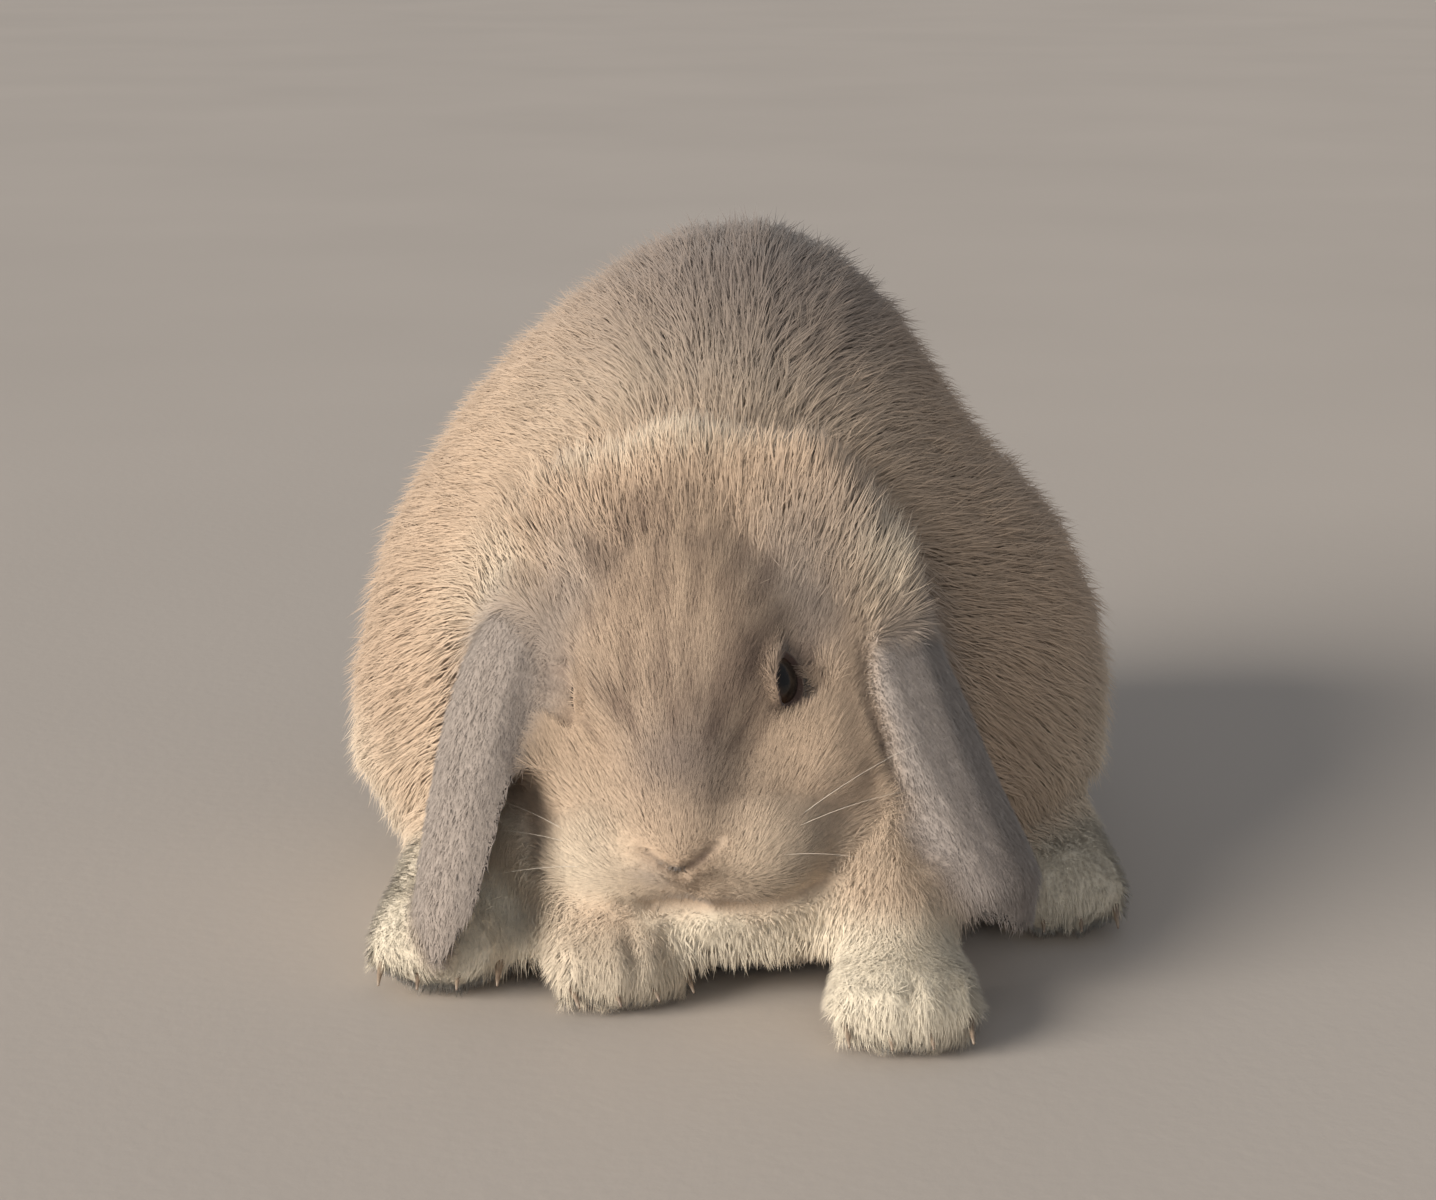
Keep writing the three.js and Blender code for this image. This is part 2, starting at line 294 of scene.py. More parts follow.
# the belly, the knees, the bib and the nose have shorter fur
shorter = {
    "low": 0.38,
    "lowHeights": (20, 70),
    "bib": 0.5,
    "bibPlace": ((0, -80, 25), (60, 36, 40)),
    "legHeights": (24, 45),
    "behindNose": (16, 48),
}
groups = {
    "body": ["trunk", "neck", "haunch_left", "haunch_right"],
    "head": ["head", "eye_left", "eye_right"],
    "earLeft": ["ear_left"],
    "earRight": ["ear_right"],
    "foreleg": ["foreleg_left", "foreleg_right"],
    "hindFoot": ["hind_foot_left", "hind_foot_right"],
    "tail": ["tail"],
}
groupNames = list(groups)
fleshNodes = [n for g in groups.values() for n in g if not n.startswith("eye")]


def swollenFlesh():
    whole = bmesh.new()
    for name in [n for members in groups.values() for n in members]:
        part = bmesh.new()
        part.from_mesh(nodes[name].data)
        bmesh.ops.remove_doubles(part, verts=part.verts, dist=1e-6)
        part.normal_update()
        swell = skinShape["earSwell" if name.startswith("ear") else "swell"]
        for v in part.verts:
            v.co += v.normal * swell * mm
        mesh = bpy.data.meshes.new("part")
        part.to_mesh(mesh)
        whole.from_mesh(mesh)
        bpy.data.meshes.remove(mesh)
        part.free()
    mesh = bpy.data.meshes.new("flesh")
    whole.to_mesh(mesh)
    whole.free()
    return mesh


def voxelCopy(mesh, size):
    holder = bpy.data.objects.new("flesh", mesh)
    bpy.context.scene.collection.objects.link(holder)
    remesh = holder.modifiers.new("remesh", "REMESH")
    remesh.mode = "VOXEL"
    remesh.voxel_size = size
    evaluated = holder.evaluated_get(bpy.context.evaluated_depsgraph_get())
    result = bpy.data.meshes.new_from_object(evaluated)
    bpy.data.objects.remove(holder)
    return result


def dropCrumbs(mesh):
    # the remesh leaves loose crumbs, such as those between an ear and the cheek
    bm = bmesh.new()
    bm.from_mesh(mesh)
    left = set(bm.verts)
    while left:
        island = []
        growing = [left.pop()]
        while growing:
            v = growing.pop()
            island.append(v)
            fresh = {e.other_vert(v) for e in v.link_edges} & left
            left -= fresh
            growing += fresh
        if len(island) < skinShape["crumb"]:
            bmesh.ops.delete(bm, geom=island, context="VERTS")
    bm.to_mesh(mesh)
    bm.free()


def nodeFinder():
    # a tree of all the CAD facets, and the group that each belongs to
    points, faces, owner = [], [], []
    for index, members in enumerate(groups.values()):
        for name in members:
            mesh = nodes[name].data
            start = len(points)
            points += [v.co.copy() for v in mesh.vertices]
            faces += [[start + i for i in p.vertices] for p in mesh.polygons]
            owner += [index] * len(mesh.polygons)
    return bvhtree.BVHTree.FromPolygons(points, faces), np.array(owner)


finder, facetOwner = nodeFinder()


def groupShares(points, pairs, rounds):
    # how much of each group a point belongs to, evened out across the borders
    found = [finder.find_nearest(Vector(p))[2] for p in points]
    shares = np.zeros((len(points), len(groupNames)))
    shares[np.arange(len(points)), facetOwner[found]] = 1
    return spread(shares, pairs, rounds)


def shareOf(shares, *names):
    return sum(shares[:, groupNames.index(n)] for n in names)


# the thick fur that frames the back of the head: a line, and how far it reaches around and behind
crown = {
    "line": [(-44, 24, 4), (-27, 40, 15), (0, 46, 20), (27, 40, 15), (44, 24, 4)],
    "reach": (10, 30),
    "behind": (20, 46),
}
noseApex = (0.6, -50.6, 11.0)


def crownShare(q):
    # 1 on the thick fur, 0 on the face
    far, _ = nearLine(q, crown["line"])
    return np.maximum(1 - smoothStep(*crown["reach"], far), smoothStep(*crown["behind"], q[:, 1]))


def depthAt(points, shares):
    d = coatDepth
    q = toHead(points)
    z = points[:, 2] / mm
    fromNose = np.linalg.norm(q - np.array(noseApex), axis=1)
    head = d["nose"] + (d["head"] - d["nose"]) * smoothStep(*shorter["behindNose"], fromNose)
    head += (d["crown"] - head) * crownShare(q)
    low = shorter["low"] * (1 - smoothStep(*shorter["lowHeights"], z))
    bib = shorter["bib"] * near(points / mm, *shorter["bibPlace"])
    body = d["body"] * (1 - low) * (1 - bib)
    leg = d["foot"] + d["leg"] * smoothStep(*shorter["legHeights"], z)
    return (
        shareOf(shares, "body") * body
        + shareOf(shares, "head") * head
        + shareOf(shares, "earLeft", "earRight") * d["ear"]
        + shareOf(shares, "foreleg") * leg
        + shareOf(shares, "hindFoot") * d["foot"]
        + shareOf(shares, "tail") * d["tail"]
    )


def makeSkinMesh():
    mesh = voxelCopy(swollenFlesh(), skinShape["voxel"] * mm)
    dropCrumbs(mesh)
    points, _, pairs = readMesh(mesh)
    shares = groupShares(points, pairs, 4)
    rounds = skinShape["smooth"]
    wanted = (
        shareOf(shares, "body", "tail") * rounds["body"]
        + shareOf(shares, "head") * rounds["head"]
        + shareOf(shares, "earLeft", "earRight") * rounds["ear"]
        + shareOf(shares, "foreleg", "hindFoot") * rounds["foot"]
    )
    for n in range(max(rounds.values())):  # each pair of steps smooths, then swells back
        active = (wanted > n).astype(float)
        points = spread(points, pairs, 1, skinShape["step"] * active)
        points = spread(points, pairs, 1, -skinShape["step"] * active)
    writePoints(mesh, points)
    points, normals, pairs = readMesh(mesh)
    depth = spread(depthAt(points, shares), pairs, skinShape["depthRounds"])[:, 0]
    normals = unit(spread(normals, pairs, skinShape["normalRounds"]))
    ears = shareOf(shares, "earLeft", "earRight")
    swell = skinShape["swell"] * (1 - ears) + skinShape["earSwell"] * ears
    points -= normals * ((swell + depth) * mm)[:, None]
    points = spread(points, pairs, skinShape["calm"], 0.5 * (0.2 + 0.8 * ears))
    q = toHead(points)
    middle, radii = skinShape["socket"]
    hollow = sum(near(q, mirrored(middle, side), radii) for side in sides.values())
    hollow = smoothStep(0.15, 0.6, hollow + near(q, *skinShape["earNotch"]))
    points = spread(points, pairs, skinShape["hollowRounds"], skinShape["step"] * hollow)
    writePoints(mesh, points)
    return mesh


# Eyes: places and sizes in the head's frame, in mm
eyes = {
    "radius": 8.0,
    "place": (18.6, -6, 11.9),
    "gaze": (0.93, -0.06, 0.36),
    "halfLength": 5.8,
    "halfHeight": 4.3,
    "pinch": 0.3,  # draws the corners of the opening to a point
    "reach": (12, 18),  # the opening counts only this near the eyeball's middle
}
# The lids, from the eyeball's surface outwards, in mm; a place of 1 is the opening's edge
lids = {
    "edge": 1.0,  # how far the lid's edge stands off the eyeball
    "sunk": 1.6,  # how far the skin inside the lids lies under the eyeball's surface
    "climb": (0.9, 1.06),
    "roll": {"height": 0.5, "place": 1.2, "width": 0.14},
    "runOut": (1.15, 2.0),  # where the lids run out into the face
    "smoothFrom": (1.25, 1.5),
    "smoothTo": (5, 3),
    "smoothRounds": 4,
}


def eyeAxes(side):
    # outwards, towards the nape, and upwards between the two
    out = Vector((side * eyes["gaze"][0], *eyes["gaze"][1:])).normalized()
    toNape = Vector((0, 1, 0.1))
    back = (toNape - out * out.dot(toNape)).normalized()
    up = back.cross(out) * -side
    return np.array([out, back, up])


def eyeOpening(q, side):
    # 0 in the middle of the opening and 1 on the lids' edge, and how far off the eyeball's middle is
    away = q - mirrored(eyes["place"], side)
    far = np.linalg.norm(away, axis=1)
    out, back, up = (away / np.maximum(far, 1e-6)[:, None] @ eyeAxes(side).T).T
    arc = eyes["radius"] * np.arccos(np.clip(out, -1, 1)) / np.maximum(np.hypot(back, up), 1e-6)
    along = arc * back / eyes["halfLength"]
    across = arc * up / eyes["halfHeight"]
    pinch = 1 + eyes["pinch"] * np.minimum(along**2, 1)
    edge = np.sqrt(along**2 + (across * pinch) ** 2)
    edge += 3 * smoothStep(*eyes["reach"], far)
    return np.where(out > 0, edge, 9), far


# The creases of the face: a line in the head's frame, how deep and wide it is, and how dark it is painted.
# Along the nostrils and the philtrum the dark is darker skin and painted shade; along the jaw, the ear
# folds and the pads it is painted shade
padLine = [(9, -37.5, 17), (20, -33, 13.4), (28, -33, 7), (32, -35, -1), (31, -37, -9)]
faceLines = {
    "nostrilLeft": ([noseApex, (5.6, -48.5, 13.1), (11, -44.5, 14.3)], 2.0, 1.3, 1.0),
    "nostrilRight": ([noseApex, (-4.4, -48.5, 13.7), (-10.4, -44.5, 14.8)], 2.8, 1.5, 1.0),
    "philtrum": ([noseApex, (0.3, -53, 7), (0, -53.5, 4)], 2.0, 1.2, 0.9),
    "jaw": (
        [(-38, -32, 2), (-35, -40, -4), (-21, -51, -1), (-8, -53, 0)]
        + [(3, -53, -0.5), (16, -53, -3), (27, -50, -3.5), (34, -43, -6)],
        3.4,
        2.4,
        0.3,
    ),
    "earFoldLeft": (
        [(41, 6, 9), (41, -7, 6.5), (43, -15, 4.5), (46, -27, 1), (50, -34, -1), (55, -44, -4)],
        3.0,
        1.6,
        0.3,
    ),
    "earFoldRight": ([(-31, 0, 15), (-34, -10, 10), (-35, -15, 9.5)], 2.0, 1.6, 0.2),
    "padLeft": (padLine, 1.1, 3.4, 0.12),
    "padRight": ([mirrored(p, -1) for p in padLine], 1.1, 3.0, 0.05),
}
faceStart = (-10, -24)  # the face is smoothed once more from here to the nose
creaseEnds = {"fadeIn": (-0.05, 0.15), "fadeOut": (1.05, 0.75), "open": ("nostril", "philtrum")}
# The face's fuller places: middle, radii and height
facePads = {
    "whiskerLeft": ((19, -45, 5), (12, 11, 11), 3.0),
    "whiskerRight": ((-19, -45, 5), (12, 11, 11), 1.8),
    "noseTip": ((0.4, -46, 15), (7, 7, 6), 1.2),
}


# The paws: the middle of each sole's front, in mm, and how far the foot is turned, in degrees
paws = {
    "foreleg_left": ((37.41, -114.66, 11), 4),
    "foreleg_right": ((-27.09, -89.66, 11), 20),
    "hind_foot_left": ((78.91, -42.66, 11), 0.7),
    "hind_foot_right": ((-66.59, -79.66, 11), -0.4),
}
# The gaps between the toes run from the sole's front, up and back over the paw
toes = {
    "gaps": (-9, 0, 9),
    "run": [(-21, -7), (-18, 3), (-7, 11)],
    "gather": 0.95,
    "crease": 1.7,
    "width": 1.6,
    "shadeWidth": 1.3,
    "shade": 0.1,
}


def toPaw(points, paw):
    place, turn = paws[paw]
    turned = np.array(Matrix.Rotation(math.radians(turn), 3, "Z"))
    return (points / mm - np.array(place)) @ turned


def toeGaps(points, paw):
    q = toPaw(points, paw)
    for x in toes["gaps"]:
        line = [(x, *place) for place in toes["run"]]
        line[-1] = (x * toes["gather"], *toes["run"][-1])
        far, along = nearLine(q, line)
        yield far, toes["crease"] * smoothStep(1.0, 0.6, along)


# Finer facets for the lids and the muzzle: how far each round reaches from their middles, in mm
finer = {"rounds": ((12.5, 17), (10.5, 1e-6)), "muzzle": (0, -50, 6), "beyond": 4}


def subdivideNear(mesh):
    bm = bmesh.new()
    bm.from_mesh(mesh)
    bmesh.ops.triangulate(bm, faces=bm.faces)
    for reach, muzzleReach in finer["rounds"]:
        q = toHead(np.array([v.co for v in bm.verts]))
        inside = near(q, finer["muzzle"], (muzzleReach,) * 3) > 0.37
        for side in sides.values():
            edge, far = eyeOpening(q, side)
            inside |= (far < reach + finer["beyond"]) & (edge < reach / 6)
        chosen = [e for e in bm.edges if inside[e.verts[0].index] and inside[e.verts[1].index]]
        bmesh.ops.subdivide_edges(bm, edges=chosen, cuts=1, use_grid_fill=True)
        bmesh.ops.triangulate(bm, faces=[f for f in bm.faces if len(f.verts) > 3])
        bm.verts.index_update()
    bm.to_mesh(mesh)
    bm.free()


def shapeFace(mesh):
    points, normals, pairs = readMesh(mesh)
    q = toHead(points)
    onFace = smoothStep(*faceStart, q[:, 1])
    points = points + (spread(points, pairs, 2, 0.5) - points) * onFace[:, None]
    for middle, radii, height in facePads.values():
        points += normals * (near(q, middle, radii) * height * mm)[:, None]
    for name, (line, depth, width, _) in faceLines.items():
        far, along = nearLine(q, line)
        end = smoothStep(*creaseEnds["fadeOut"], along)
        if not name.startswith(creaseEnds["open"]):
            end *= smoothStep(*creaseEnds["fadeIn"], along)
        points -= normals * (np.exp(-((far / width) ** 2)) * depth * end * mm)[:, None]
    for paw in paws:
        for far, depth in toeGaps(points, paw):
            points -= normals * (np.exp(-((far / toes["width"]) ** 2)) * depth * mm)[:, None]
    q = toHead(points)
    for side in sides.values():
        middle = mirrored(eyes["place"], side)
        edge, far = eyeOpening(q, side)
        rim = eyes["radius"] + lids["edge"]
        inner = eyes["radius"] - lids["sunk"]
        roll = lids["roll"]
        lidded = inner + (rim - inner) * smoothStep(*lids["climb"], edge)
        lidded += roll["height"] * np.exp(-(((edge - roll["place"]) / roll["width"]) ** 2))
        wanted = lidded + (far - lidded) * smoothStep(*lids["runOut"], edge)
        change = np.where(edge < 5, wanted / np.maximum(far, 1e-6), 1)
        q = middle + (q - middle) * change[:, None]
        around = smoothStep(*lids["smoothFrom"], edge) * smoothStep(*lids["smoothTo"], edge)
        q = spread(q, pairs, lids["smoothRounds"], 0.5 * around)
    writePoints(mesh, q * mm @ headTurnArray.T + headMiddle)


# Darker hair on the face: two bands from the brows to the bridge, and short streaks on the forehead
browBands = [
    [(-22, -2.5, 21.5), (-13, -17, 23.5), (-5, -29, 23.5)],
    [(20, -6, 23), (11, -20, 23.5), (4, -29, 24)],
]
streaks = {
    "count": 90,
    "from": (-21, -26),
    "to": (21, 27),
    "above": (8, 16),
    "length": (3.5, 7),
    "width": (0.6, 1.4),
}
streakPlaces = rng.uniform(streaks["from"], streaks["to"], (streaks["count"], 2))
streakLengths = rng.uniform(*streaks["length"], streaks["count"])
streakWidths = rng.uniform(*streaks["width"], streaks["count"])


def faceStreaks(q):
    total = np.zeros(len(q))
    above = smoothStep(*streaks["above"], q[:, 2])
    for place, length, width in zip(streakPlaces, streakLengths, streakWidths):
        lie = unit(place - np.array(noseApex[:2]))
        away = q[:, :2] - place
        along, across = away @ lie, away @ np.array([-lie[1], lie[0]])
        total += np.exp(-((along / length) ** 2) - (across / width) ** 2)
    return np.minimum(total, 1) * above


# Marked places, as middle and radii; those on the head are in its own frame
headPlaces = {
    "pad": ((20, -46, 2), (15, 12, 13)),
    "besideEar": ((45, 22, 6), (9, 12, 12)),
    "bridge": ((4, -31, 22), (11, 9, 12)),
    "forehead": ((3, -14, 27), (14, 14, 10)),
    "earBase": ((25, 15, 20), (9, 14, 12)),
    # painted shade: grey and dark in the hollow of each eye socket, behind the eye
    "socket": ((30, 4, 13), (7, 10, 9)),
    # painted shade: grey on the shaded side of the crown, behind the left ear
    "behindLeftEar": ((42, 28, 18), (14, 14, 12)),
    # painted shade: grey under the right nostril
    "shadeUnderNose": ((-5.5, -50.5, 9.5), (4, 5, 3)),
    "spot": ((-5.7, 29.5, 29), (6, 5, 10)),
    "spotTail": ((-13, 26, 26), (6, 4, 10)),
    # painted shade: darkens the lit slope of the lid above the left eye, towards the nose
    "leftBrowShade": ((19.5, -11.5, 20), (4.5, 6, 5)),
}
bodyPlaces = {
    "saddle": ((-5, -20, 118), (38, 40, 26)),
    "bib": ((0, -100, 14), (44, 34, 20)),
    "rightWrist": ((-30, -86, 22), (24, 30, 15)),
    # painted light: cream laid into the shadow between the right ear and the face
    "underRightEar": ((-50, -70, 34), (16, 26, 22)),
}
# Marked bands: where each begins and where it is full
fades = {
    "jaw": (-8, -26),
    "ridgeBehind": (36, 48),
    # painted shade: the crown ridge loses cream over its left side, which lies in shade
    "ridgeShadeLeft": (2, 26),
    "lowFront": (-60, 0),
    "lowLeft": (20, 70),
    "lowFull": 22,
    "lowTop": 62,
    "lowRise": 24,  # the belly's colour climbs higher on the left
    "paws": (32, 18),
    "spine": (106, 152),
    "earTip": (60, 30),
    "lidNear": (1.18, 1.06),
    "lidWide": (1.32, 1.1),
    "lidAround": (2.4, 1.5),
    "crease": (1.05, 0.6),
}
widths = {"ridge": 9, "bands": 6, "spine": 42, "spineMiddle": 4}
# How strong each mark is in each colour
creams = {
    "padLeft": 0.55,
    "padRight": 1,
    "pads": 0.62,
    "jaw": 0.5,
    "ridge": 0.8,
    "ridgeShadeLeft": 0.6,
    "headMost": 0.85,
    "besideEar": 0.55,
    "low": 0.75,
    "saddle": 0.25,
    "bib": 0.9,
    "feet": 0.12,
    "paws": 0.8,
    "tail": 0.6,
    "rightWrist": 0.85,
    "underRightEar": 0.7,
}
greys = {
    "bridge": 0.4,
    "forehead": 0.35,
    "bands": 0.1,
    "earBase": 0.45,
    "socket": 0.4,
    "earRight": 0.8,
    "earLeft": 0.92,
    "spine": 0.75,
    "behindLeftEar": 0.35,
    "shadeUnderNose": 0.4,
}
darks = {
    "spot": 0.5,
    "spotTail": 0.6,
    "streaks": 0.42,
    "socket": 0.16,
    "bridge": 0.32,
    "bands": 0.08,
    "spine": 0.4,
    "leftBrowShade": 0.4,
    "earTip": 0.12,
    "lidNear": 0.5,
    "lidWide": 0.3,
    "lidAround": 0.16,
    "lids": {"Left": 1.0, "Right": 0.3},
}


def markingsShadeAndLightAt(points, shares):
    # cream, grey and dark, each from 0 to 1: the coat's markings, with painted shade in the creases, the
    # eye sockets and a few shaded places, and painted light in the shadow under the right ear
    q = toHead(points)
    x, y, z = points.T / mm
    head = shareOf(shares, "head")
    ear = shareOf(shares, "earLeft", "earRight")
    feet = shareOf(shares, "foreleg", "hindFoot")
    body = shareOf(shares, "body")

    def onHead(name, side=1):
        middle, radii = headPlaces[name]
        return near(q, mirrored(middle, side), radii)

    def onBothSides(name):
        return onHead(name) + onHead(name, -1)

    def onBody(name):
        return near(points / mm, *bodyPlaces[name])

    pads = creams["padLeft"] * onHead("pad") + creams["padRight"] * onHead("pad", -1)
    jaw = smoothStep(*fades["jaw"], q[:, 2])
    ridge = np.exp(-((nearLine(q, crown["line"])[0] / widths["ridge"]) ** 2))
    ridge *= smoothStep(*fades["ridgeBehind"], q[:, 1])
    # painted shade: less cream on the ridge's left side, which lies in shade
    ridge *= 1 - creams["ridgeShadeLeft"] * smoothStep(*fades["ridgeShadeLeft"], q[:, 0])
    onFace = creams["pads"] * pads + creams["jaw"] * jaw + creams["ridge"] * ridge
    cream = head * np.clip(onFace, 0, creams["headMost"])
    cream += creams["besideEar"] * onBothSides("besideEar") * (1 - ear)
    lowTop = fades["lowTop"] + fades["lowRise"] * smoothStep(*fades["lowLeft"], x)
    low = smoothStep(lowTop, fades["lowFull"], z) * smoothStep(*fades["lowFront"], y)
    cream += body * (creams["low"] * low + creams["saddle"] * onBody("saddle"))
    cream += body * creams["bib"] * onBody("bib")
    cream += feet * (creams["feet"] + creams["paws"] * smoothStep(*fades["paws"], z))
    cream += creams["tail"] * shareOf(shares, "tail")
    cream -= feet * creams["rightWrist"] * onBody("rightWrist")
    # painted light in the shadow under the right ear
    cream += creams["underRightEar"] * onBody("underRightEar") * (1 - ear) * (1 - head)
    bridge = onHead("bridge") + greys["forehead"] * onHead("forehead")
    bands = sum(np.exp(-((nearLine(q, line)[0] / widths["bands"]) ** 2)) for line in browBands)
    # painted shade in the eye sockets
    socket = onBothSides("socket")
    spine = np.exp(-(((x - widths["spineMiddle"]) / widths["spine"]) ** 2))
    spine *= smoothStep(*fades["spine"], z)
    grey = greys["bridge"] * bridge + greys["bands"] * bands + greys["socket"] * socket
    grey += greys["earBase"] * onBothSides("earBase")
    # painted shade behind the left ear and under the right nostril
    grey += sum(greys[n] * onHead(n) for n in ("behindLeftEar", "shadeUnderNose"))
    grey = head * grey + body * greys["spine"] * spine
    grey += sum(greys[n] * shareOf(shares, n) for n in ("earRight", "earLeft"))
    dark = darks["spot"] * (onHead("spot") + darks["spotTail"] * onHead("spotTail"))
    # the face's streaks, and painted shade on the lit lid slope above the left eye
    dark += darks["streaks"] * faceStreaks(q) + darks["leftBrowShade"] * onHead("leftBrowShade")
    dark += darks["socket"] * socket + darks["bridge"] * bridge + darks["bands"] * bands
    dark = head * dark + body * darks["spine"] * spine
    dark += darks["earTip"] * shareOf(shares, "earLeft") * smoothStep(*fades["earTip"], z)
    # painted shade along the creases, with darker skin along the nostrils and the philtrum
    for name, (line, _, width, weight) in faceLines.items():
        far, along = nearLine(q, line)
        fade = smoothStep(*fades["crease"], along) if name.startswith("nostril") else 1
        dark += weight * fade * np.exp(-((far / width) ** 2))
    for name, side in sides.items():
        edge, _ = eyeOpening(q, side)
        rims = ("lidNear", "lidWide", "lidAround")
        lidShade = sum(darks[rim] * smoothStep(*fades[rim], edge) for rim in rims)
        dark += head * lidShade * darks["lids"][name]
    for paw in paws:
        for far, depth in toeGaps(points, paw):
            dark += toes["shade"] * feet * depth * np.exp(-((far / toes["shadeWidth"]) ** 2))
    return np.clip(np.stack([cream, grey, dark], 1), 0, 1)


skinMesh = makeSkinMesh()
report("skin run together")
subdivideNear(skinMesh)
shapeFace(skinMesh)
smoothFaces(skinMesh)
skinPoints, skinNormals, skinPairs = readMesh(skinMesh)
skinShares = groupShares(skinPoints, skinPairs, 8)
writeAttribute(skinMesh, "marksShadeAndLight", markingsShadeAndLightAt(skinPoints, skinShares))
# the skin stands a quarter of the way from root to tip, so it carries some of the painted root shade
writeAttribute(skinMesh, "strand", np.tile([0.25, 0.5, 0.0], (len(skinPoints), 1)))
skin = finishPiece(skinMesh, "skin", skinMaterial)
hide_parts(*fleshNodes)
report(f"skin, {len(skinMesh.polygons)} faces")


# Coat

coatCounts = {"body": 154000, "head": 76000, "ear": 12500, "foot": 21000}
coatPieces = {"body": 6, "head": 2, "middleHeight": 0.06}
coatStart = {"floor": (1.0, 4), "sole": 0.35, "ear": 0.35}  # thinner near the floor
lieNoise = {"clump": 0.13, "own": 0.15}
tufts = {
    "longWidth": 0.36,
    "shortWidth": 0.3,
    "thick": 0.45,  # of the width
    "height": 1.02,
    "base": 2.4,
    "perDepth": 1.9,
    "bend": 0.45,  # how far along a long tuft turns flatter
    "flatter": 0.35,
    "sunk": 0.5,
    "aboveFloor": 0.3,
    "softness": 0.4,
    "lengthRange": (0.75, 1.2),
    "liftRange": (0.75, 1.25),
    "widthRange": (0.7, 1.3),
    "sineRange": (0.05, 0.7),
}
guardHairs = {"share": 0.15, "length": 1.15, "lift": 1.5, "width": 0.65}
clumps = {
    "long": {"spacing": 18, "stretch": 0.35, "swerve": 0.1},
    "short": {"spacing": 14, "stretch": 0.25, "swerve": 0.06},
}
ticking = {"all": 0.14, "top": 0.36, "topHeights": (90, 140), "clumps": (0.6, 0.9), "range": (0.6, 1)}
# Hair is shorter beside creases and lids, and most of all between the eye and the nose
room = {
    "pad": {"shortest": 0.55, "reach": 6},
    "crease": {"shortest": 0.35, "reach": 7},
    "lid": {"clear": 1.14, "shortest": 0.5, "from": 1.1, "to": 1.7},
    "ahead": {"from": -2, "to": 3.5, "clear": 0.08, "shortest": 0.25, "reach": 0.8},
    "earNotch": 0.45,
}
inEar = {"length": 0.55, "backs": {"earLeft": (0.86, -0.5, 0.1), "earRight": (-0.86, -0.5, 0.1)}}
creamLength = 0.75
# The way the hair lies: nose to nape on the head, back and down on the body, down the ears and legs
lies = {
    "body": {"spread": 0.35, "halfWidth": 0.09, "back": 0.9, "down": 0.25, "steep": 0.95},
    "head": {"from": (0, -54, 4), "back": (0, 0.7, -0.1)},
    "earLeft": (0.33, -0.52, -0.78),
    "earRight": (-0.24, -0.6, -0.76),
    "foreleg": (0, -0.6, -0.8),
    "hindFoot": (0, -0.9, -0.45),
    "tail": (0, 0.25, 0.9),
}
# The unwrap: the share of the square in use, its margin, and one tuft's patch
unwrap = {"size": 0.985, "margin": 0.005, "patch": 0.003, "middleHeight": 0.07}
earUnwrap = {"size": 0.98, "margin": 0.008, "face": 0.48, "second": 0.51}


def lieAt(points, normals, shares):
    body, head = lies["body"], lies["head"]
    headLie = unit(toHead(points) - np.array(head["from"])) + np.array(head["back"])
    level = np.clip(normals[:, 2], -0.2, 1)
    outwards = points[:, 0] / body["halfWidth"] * body["spread"]
    down = -body["down"] - body["steep"] * (1 - level)
    bodyLie = np.stack([outwards, np.full(len(points), body["back"]), down], 1)
    each = {**lies, "body": bodyLie, "head": headLie @ headTurnArray.T}
    total = sum(shareOf(shares, n)[:, None] * unit(np.array(lie)) for n, lie in each.items())
    return unit(total - normals * (total * normals).sum(1, keepdims=True))


def skinTriangles():
    skinMesh.calc_loop_triangles()
    corners = np.empty(len(skinMesh.loop_triangles) * 3, np.int32)
    skinMesh.loop_triangles.foreach_get("vertices", corners)
    return corners.reshape(-1, 3)


triangles = skinTriangles()


def scatter(count, weight):
    # roots spread over the skin, denser where weight is larger
    a, b, c = (skinPoints[triangles[:, n]] for n in range(3))
    area = np.linalg.norm(np.cross(b - a, c - a), axis=1) * weight[triangles].mean(1)
    chosen = triangles[rng.choice(len(area), count, p=area / area.sum())]
    u, v = rng.random((2, count))
    over = u + v > 1
    u[over], v[over] = 1 - u[over], 1 - v[over]
    share = np.stack([1 - u - v, u, v], 1)

    def at(values):
        return (values[chosen] * share[:, :, None]).sum(1)

    return {"point": at(skinPoints), "normal": unit(at(skinNormals)), "shares": at(skinShares)}


def clumpTips(roots, lie, length, spacing, stretch):
    # each tuft's tip leans towards its clump's tip; returns the lie, and the clump's tint and lean
    points = roots["point"]
    count = max(int(len(points) / spacing), 8)
    heads = rng.choice(len(points), count, replace=False)
    along = (points * lie).sum(1)[:, None] * lie
    squeezed = points - along * (1 - stretch)
    tree = kdtree.KDTree(count)
    for n, head in enumerate(heads):
        tree.insert(squeezed[head], n)
    tree.balance()
    owner = heads[[tree.find(p)[1] for p in squeezed]]
    own = points + lie * length[:, None]
    shared = points[owner] + lie[owner] * length[owner][:, None]
    leaned = unit(lie + (shared - own) / length[:, None] * lieNoise["clump"])
    return leaned, rng.random(len(points))[owner], rng.normal(0, 1, (len(points), 3))[owner]


